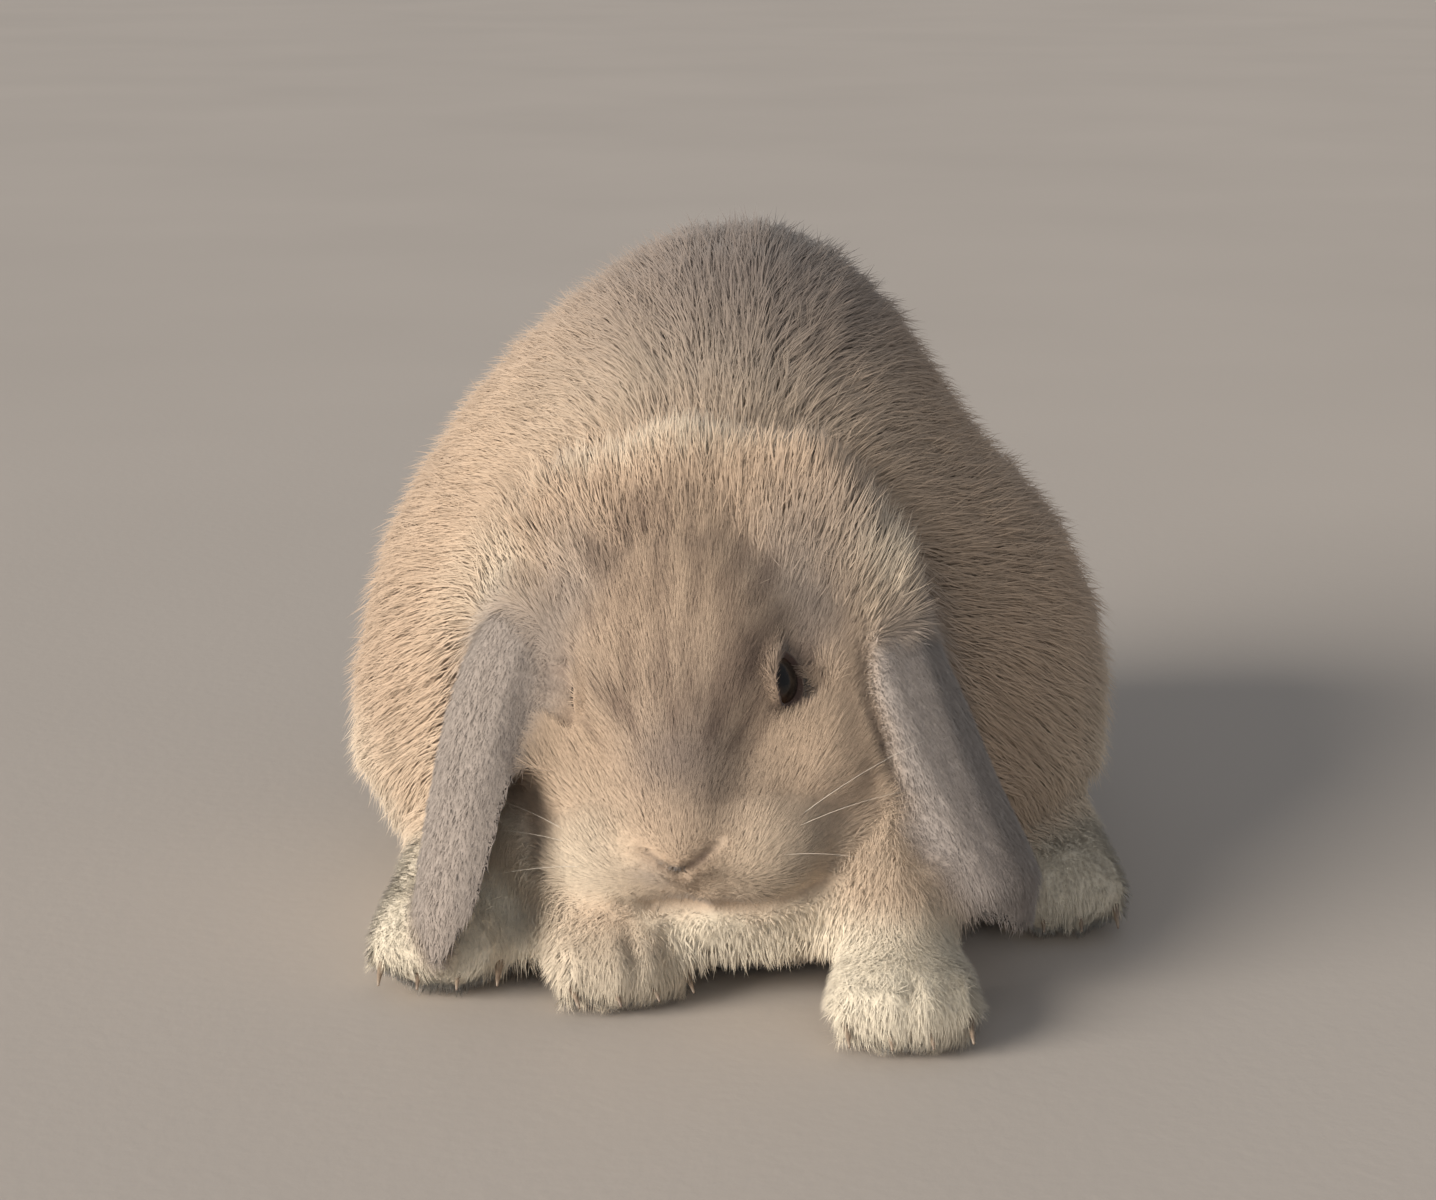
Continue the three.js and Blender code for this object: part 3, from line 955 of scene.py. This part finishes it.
def uvPlaces(points, normals, isEar):
    # an unwrap of the skin's own shape: by direction from the piece's middle, or an ear's two faces
    if isEar:
        middle = points.mean(0)
        axis = np.linalg.svd((points - middle)[::7], full_matrices=False)[2]
        places = (points - middle) @ axis[:2].T
        outer = (normals @ axis[2]) > 0
        places = (places - places.min(0)) / np.ptp(places, axis=0)
        places[:, 1] = places[:, 1] * earUnwrap["face"] + np.where(outer, earUnwrap["second"], 0)
        return places * earUnwrap["size"] + earUnwrap["margin"]
    middle = (points.min(0) + points.max(0)) / 2
    middle[0] *= 0.5
    middle[2] = min(middle[2], unwrap["middleHeight"])
    away = unit(points - middle)
    turn = np.arctan2(away[:, 0], away[:, 2])
    places = np.stack([turn, np.arccos(np.clip(away[:, 1], -1, 1))], 1)
    places = (places - places.min(0)) / np.ptp(places, axis=0)
    return places * unwrap["size"] + unwrap["margin"]


def tuftMesh(name, roots, lie, length, width, lift, bent):
    # closed tapered tufts: three sides, and a bend halfway in the long ones
    points, normals = roots["point"], roots["normal"]
    count = len(points)
    across = unit(np.cross(normals, lie))
    lean = np.cos(lift)[:, None] * lie + np.sin(lift)[:, None] * normals
    thick = unit(np.cross(across, lean)) * -tufts["thick"]
    ring = [(-0.5, 0.0), (0.5, 0.0), (0.0, 1.0)]
    faces = [(0, 1), (1, 2), (2, 0)]
    start = points - normals * tufts["sunk"] * mm
    if bent:
        bend = tufts["bend"]
        middle = points + lean * (bend * length)[:, None]
        flat = lift * tufts["flatter"]
        leaf = np.cos(flat)[:, None] * lie + np.sin(flat)[:, None] * normals
        tip = middle + leaf * ((1 - bend) * length)[:, None]
        pattern = [(0, 1 + m, 1 + n) for n, m in faces] + [(1 + n, 1 + m, 4) for n, m in faces]
        heights = np.array([0, bend, bend, bend, 1])
    else:
        middle = start
        tip = points + lean * length[:, None]
        pattern = [(0, 2, 1)] + [(n, m, 3) for n, m in faces]
        heights = np.array([0, 0, 0, 1])
    rows = [middle + (across * s + thick * t) * width[:, None] for s, t in ring] + [tip]
    if bent:
        rows.insert(0, start)
    size = len(rows)
    shape = np.stack(rows, 1)
    shape[:, :, 2] = np.maximum(shape[:, :, 2], tufts["aboveFloor"] * mm)
    index = (np.array(pattern) + (np.arange(count) * size)[:, None, None]).reshape(-1, 3)
    mesh = bpy.data.meshes.new(name)
    mesh.vertices.add(count * size)
    mesh.vertices.foreach_set("co", shape.astype(np.float32).ravel())
    mesh.loops.add(index.size)
    mesh.loops.foreach_set("vertex_index", index.astype(np.int32).ravel())
    mesh.polygons.add(len(index))
    mesh.polygons.foreach_set("loop_start", np.arange(0, index.size, 3, dtype=np.int32))
    mesh.update(calc_edges=True)
    strand = np.empty((count, size, 3))
    strand[:, :, 0] = heights
    strand[:, :, 1] = roots["tint"][:, None]
    strand[:, :, 2] = roots["ticking"][:, None] * (0.3 + 0.7 * heights)
    writeAttribute(mesh, "strand", strand.reshape(-1, 3))
    writeAttribute(mesh, "marksShadeAndLight", np.repeat(roots["marksShadeAndLight"], size, 0))
    sideways = np.array([0.0] * (size - 4) + [-0.5, 0.5, 0.0, 0.0])
    patch = np.stack([sideways, heights + np.array([0.0] * (size - 2) + [0.2, 0])], 1)
    uv = roots["uv"][:, None] + patch[None] * unwrap["patch"]
    layer = mesh.uv_layers.new(name="OFBake")
    layer.data.foreach_set("uv", uv.reshape(-1, 2)[index.ravel()].astype(np.float32).ravel())
    radial = shape - (points + lean * (0.5 * length)[:, None])[:, None]
    radial -= (radial * lean[:, None]).sum(2, keepdims=True) * lean[:, None]
    soft = unit(normals[:, None] + unit(radial) * tufts["softness"])
    smoothFaces(mesh)
    mesh.normals_split_custom_set_from_vertices(soft.reshape(-1, 3).astype(np.float32))
    return mesh


def choose(roots, mask):
    return {key: value[mask] for key, value in roots.items()}


def hairRoom(q):
    # which roots are clear of the creases and the lids, and how short the hair beside them is
    clear = np.ones(len(q), bool)
    short = np.ones(len(q))
    for name, (line, _, width, _) in faceLines.items():
        far, _ = nearLine(q, line)
        isPad = name.startswith("pad")
        least, reach = room["pad" if isPad else "crease"].values()
        start = 0 if isPad else width
        if not isPad:
            clear &= far > width
        short = np.minimum(short, least + (1 - least) * smoothStep(start, start + reach, far))
    lid, front = room["lid"], room["ahead"]
    for side in sides.values():
        edge, _ = eyeOpening(q, side)
        ahead = (mirrored(eyes["place"], side) - q) @ eyeAxes(side)[1]
        ahead = smoothStep(front["from"], front["to"], ahead)
        clear &= edge > lid["clear"] + front["clear"] * ahead
        least = lid["shortest"] - front["shortest"] * ahead
        grown = smoothStep(lid["from"], lid["to"] + front["reach"] * ahead, edge)
        short = np.minimum(short, least + (1 - least) * grown)
    return clear, short


def growCoat(kind, count, weight, slot, pieceCount=1, isEar=False):
    roots = scatter(count, weight)
    q = toHead(roots["point"])
    keep, roots["shortened"] = hairRoom(q)
    if isEar:
        keep &= near(q, *skinShape["earNotch"]) < room["earNotch"]
    roots = choose(roots, keep)
    points, normals, shares = roots["point"], roots["normal"], roots["shares"]
    count = len(points)
    depth = depthAt(points, shares)
    length = (tufts["base"] + tufts["perDepth"] * depth) * mm
    length = length * rng.uniform(*tufts["lengthRange"], count) * roots["shortened"]
    isLong = kind == "body"
    if isEar:
        inside = (normals * np.array(inEar["backs"][kind])).sum(1) < 0
        length[inside] *= inEar["length"]
    if slot == "coat_cream":
        length *= creamLength
    lie = lieAt(points, normals, shares)
    spacing, stretch, swerve = clumps["long" if isLong else "short"].values()
    lie, clumpTint, clumpLean = clumpTips(roots, lie, length, spacing, stretch)
    lie = unit(lie + (rng.normal(0, lieNoise["own"], (count, 3)) + clumpLean * swerve))
    lie = unit(lie - normals * (lie * normals).sum(1, keepdims=True))
    sine = np.clip(depth * mm / length * tufts["height"], *tufts["sineRange"])
    lift = np.arcsin(sine) * rng.uniform(*tufts["liftRange"], count)
    width = tufts["longWidth" if isLong else "shortWidth"] * mm
    width = width * rng.uniform(*tufts["widthRange"], count)
    if isLong:
        guard = rng.random(count) < guardHairs["share"]
        length[guard] *= guardHairs["length"]
        lift[guard] *= guardHairs["lift"]
        width[guard] *= guardHairs["width"]
    roots["tint"] = np.clip(0.5 * clumpTint + 0.5 * rng.random(count), 0, 1)
    roots["marksShadeAndLight"] = markingsShadeAndLightAt(points, shares)
    top = smoothStep(*ticking["topHeights"], points[:, 2] / mm)
    ticked = ticking["all"] + (ticking["top"] * top if isLong else 0)
    ticked = ticked * smoothStep(*ticking["clumps"], clumpTint)
    roots["ticking"] = ticked * rng.uniform(*ticking["range"], count)
    order = np.argsort(np.arctan2(points[:, 0], points[:, 2] - coatPieces["middleHeight"]))
    for n, part in enumerate(np.array_split(order, pieceCount)):
        some = choose(roots, part)
        some["uv"] = uvPlaces(some["point"], some["normal"], isEar)
        name = f"coat{kind[0].upper()}{kind[1:]}" + (str(n + 1) if pieceCount > 1 else "")
        mesh = tuftMesh(name, some, lie[part], length[part], width[part], lift[part], isLong)
        finishPiece(mesh, name, coatMaterial)
        report(f"{name}, {len(mesh.polygons)} triangles")


onHead = shareOf(skinShares, "head")
skinCrown = crownShare(toHead(skinPoints)) * onHead
clearOfFloor = smoothStep(*coatStart["floor"], skinPoints[:, 2] / mm)
thinned = coatStart["sole"] + (1 - coatStart["sole"]) * clearOfFloor
bodyWeight = (shareOf(skinShares, "body", "tail") + skinCrown) * thinned
growCoat("body", coatCounts["body"], bodyWeight, "coat_fawn", coatPieces["body"])
growCoat("head", coatCounts["head"], onHead * (1 - skinCrown), "coat_fawn", coatPieces["head"])
for name, side in sides.items():
    earWeight = (shareOf(skinShares, "ear" + name) > coatStart["ear"]) * 1.0
    growCoat("ear" + name, coatCounts["ear"], earWeight, "ear_coat", isEar=True)
growCoat("forelegs", coatCounts["foot"], shareOf(skinShares, "foreleg"), "coat_cream")
growCoat("hindFeet", coatCounts["foot"], shareOf(skinShares, "hindFoot"), "coat_cream")


# Eyeballs

eyeColours = {
    "pupil": (0.004, 0.003, 0.003),
    "iris": (0.045, 0.022, 0.012),
    "rim": (0.012, 0.008, 0.006),
}
# Where the iris and the rim begin, as the cosine of the angle from the gaze
eyeBands = {"iris": (0.93, 0.80), "rim": (0.62, 0.5), "streakScale": 700, "streaks": (0.75, 1.2)}
cornea = {"from": 0.3, "height": 0.015}


def makeEyeMaterial():
    s = Shader("eye")
    gaze = s.attribute("gaze")
    value = s.range(s.noise(eyeBands["streakScale"], 3), 0.3, 0.7, *eyeBands["streaks"])
    inIris, inRim = (s.range(gaze, *eyeBands[name], 0, 1) for name in ("iris", "rim"))
    iris = s.mix(inIris, eyeColours["pupil"], eyeColours["iris"])
    whole = s.mix(inRim, iris, eyeColours["rim"])
    grey = s.add("CombineColor", {0: value, 1: value, 2: value})
    s.set(Base_Color=s.mix(1, whole, grey, "MULTIPLY"))
    return s.set(Roughness=0.2, Specular_IOR_Level=0.4, Coat_Weight=0.15, Coat_Roughness=0.05)


eyeMaterial = makeEyeMaterial()
for name, side in sides.items():
    low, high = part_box(f"eye_{name.lower()}")
    middle = (low + high) / 2
    out, back, up = (headTurn @ Vector(axis) for axis in eyeAxes(side))
    bm = bmesh.new()
    bmesh.ops.create_uvsphere(bm, u_segments=48, v_segments=32, radius=eyes["radius"] * mm)
    turned = out.to_track_quat("Z", "Y").to_matrix()
    gazes = []
    for v in bm.verts:
        v.co = turned @ v.co
        ahead = v.co.normalized().dot(out)
        v.co *= 1 + cornea["height"] * smoothStep(cornea["from"], 1.0, ahead)
        v.co += middle
        gazes.append(ahead)
    eyeMesh = bpy.data.meshes.new("eyeball")
    bm.to_mesh(eyeMesh)
    bm.free()
    smoothFaces(eyeMesh)
    writeAttribute(eyeMesh, "gaze", np.array(gazes))
    eyeball = finishPiece(eyeMesh, f"eyeball{name}", eyeMaterial)
    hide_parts(f"eye_{name.lower()}")
report("eyeballs")


# Claws and whiskers: round spikes, each bent down towards its tip

claws = {"length": 8.8, "radius": 1.4, "tip": 0.25, "droop": 2.8, "sides": 10, "rings": 6}
whiskers = {"length": 36, "radius": 0.09, "tip": 0.02, "droop": 6, "sides": 5, "rings": 7}
# Three rows of three on each cheek: the first whisker, and the steps back and down from it
whiskerRows = {
    "root": ((13, -47, 8), (5, 3.5, 0), (0, 0, -6)),
    "lean": ((0.8, 0.1, 0.15), (0.1, 0.3, 0), (0, 0, -0.35)),
    "lengthRange": (0.75, 1.15),
}


def addSpike(bm, root, forward, shape, length):
    earlier = len(bm.verts)
    bmesh.ops.create_cone(
        bm,
        cap_ends=True,
        segments=shape["sides"],
        radius1=shape["radius"] * mm,
        radius2=shape["tip"] * mm,
        depth=length * mm,
    )
    fresh = list(bm.verts)[earlier:]
    long = {e for v in fresh for e in v.link_edges if abs(e.verts[0].co.z - e.verts[1].co.z) > mm}
    bmesh.ops.subdivide_edges(bm, edges=list(long), cuts=shape["rings"])
    turned = forward.to_track_quat("Z", "Y").to_matrix()
    for v in list(bm.verts)[earlier:]:
        share = v.co.z / (length * mm) + 0.5
        v.co.z = share * length * mm
        v.co = turned @ v.co + root
        v.co.z = max(v.co.z - shape["droop"] * mm * share * share, tufts["aboveFloor"] * mm)


def finishSpikes(bm, name, material):
    bmesh.ops.recalc_face_normals(bm, faces=bm.faces)
    mesh = bpy.data.meshes.new(name)
    bm.to_mesh(mesh)
    bm.free()
    smoothFaces(mesh)
    return finishPiece(mesh, name, material)


def makeHornMaterial(name, light, deep, roughness):
    s = Shader(name)
    place = s.add("TexCoord", output="Object")
    layers = s.noise(900, 3, s.add("Mapping", {"Vector": place, "Scale": (1, 0.2, 1)}))
    s.set(Base_Color=s.mix(s.range(layers, 0.3, 0.7, 0, 1), light, deep))
    s.bump(layers, 0.3, 0.0002)
    return s.set(Roughness=roughness)


clawMaterial = makeHornMaterial("claw horn", (0.38, 0.29, 0.21), (0.19, 0.135, 0.10), 0.38)
for paw, (place, turn) in paws.items():
    names = [f"{paw}_claw_{n}" for n in range(1, 5)]
    forward = Matrix.Rotation(math.radians(turn), 3, "Z") @ Vector((0, -1, 0))
    bm = bmesh.new()
    for node in names:
        points = np.array([v.co for v in nodes[node].data.vertices])
        ahead = points @ np.array(forward)
        root = Vector(points[ahead < ahead.min() + 0.3 * mm].mean(0))
        addSpike(bm, root, forward, claws, claws["length"])
    piece = finishSpikes(bm, f"claws_{paw}", clawMaterial)
    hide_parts(*names)

whiskerMaterial = makeHornMaterial("whisker", (0.75, 0.68, 0.58), (0.55, 0.47, 0.38), 0.45)
bm = bmesh.new()
for side in sides.values():
    for n in range(9):
        steps = (1, n // 3, n % 3)
        root, lean = (mirrored(steps @ np.array(whiskerRows[key]), side) for key in ("root", "lean"))
        forward = headTurn @ Vector(lean)
        length = whiskers["length"] * rng.uniform(*whiskerRows["lengthRange"])
        addSpike(bm, fromHead(root), forward.normalized(), whiskers, length)
finishSpikes(bm, "whiskers", whiskerMaterial)
report("claws and whiskers")


# Floor, light and camera

stageSet = {"floor": (0.545, 0.49, 0.44), "floorSize": 30.0, "air": (0.86, 0.88, 0.92), "airStrength": 0.27}
cameraSet = {"place": (-3.09, -719.66, 250), "down": 14.0, "lens": 73.33, "sensor": 36.0}
lights = {
    "key": {"from": (-1, -0.68, 0.44), "softness": 38, "power": 4.25, "colour": (1, 0.94, 0.86)},
    "fill": {"from": (0.15, -1, 0.35), "softness": 60, "power": 0.46, "colour": (0.9, 0.95, 1)},
}


def makeFloorMaterial():
    s = Shader("pale floor")
    cloudy = s.range(s.noise(3, 4), 0.3, 0.7, 0, 1)
    floor = stageSet["floor"]
    s.set(Base_Color=s.mix(cloudy, floor, tuple(0.94 * v for v in floor)))
    s.bump(s.noise(260, 3), 0.08, 0.001)
    return s.set(Roughness=0.6)


bm = bmesh.new()
bmesh.ops.create_grid(bm, x_segments=8, y_segments=8, size=stageSet["floorSize"] / 2)
floorMesh = bpy.data.meshes.new("floor")
bm.to_mesh(floorMesh)
bm.free()
floorMesh.materials.append(makeFloorMaterial())
floor = bpy.data.objects.new("floor", floorMesh)
bpy.context.scene.collection.objects.link(floor)

for name, light in lights.items():
    lamp = bpy.data.lights.new(name, "SUN")
    lamp.energy = light["power"]
    lamp.angle = math.radians(light["softness"])
    lamp.color = light["colour"]
    holder = bpy.data.objects.new(name, lamp)
    holder.location = light["from"]
    holder.rotation_euler = Vector(light["from"]).to_track_quat("Z", "Y").to_euler()
    bpy.context.scene.collection.objects.link(holder)

world = bpy.data.worlds.new("studio")
world.use_nodes = True
background = world.node_tree.nodes["Background"].inputs
background["Color"].default_value = (*stageSet["air"], 1)
background["Strength"].default_value = stageSet["airStrength"]
bpy.context.scene.world = world
bpy.context.scene.view_settings.view_transform = "Standard"

lens = bpy.data.cameras.new("camera")
lens.lens = cameraSet["lens"]
lens.sensor_width = cameraSet["sensor"]
lens.sensor_fit = "HORIZONTAL"
camera = bpy.data.objects.new("camera", lens)
camera.location = Vector(cameraSet["place"]) * mm
camera.rotation_euler = (math.radians(90 - cameraSet["down"]), 0, 0)
bpy.context.scene.collection.objects.link(camera)
bpy.context.scene.camera = camera
report("stage")
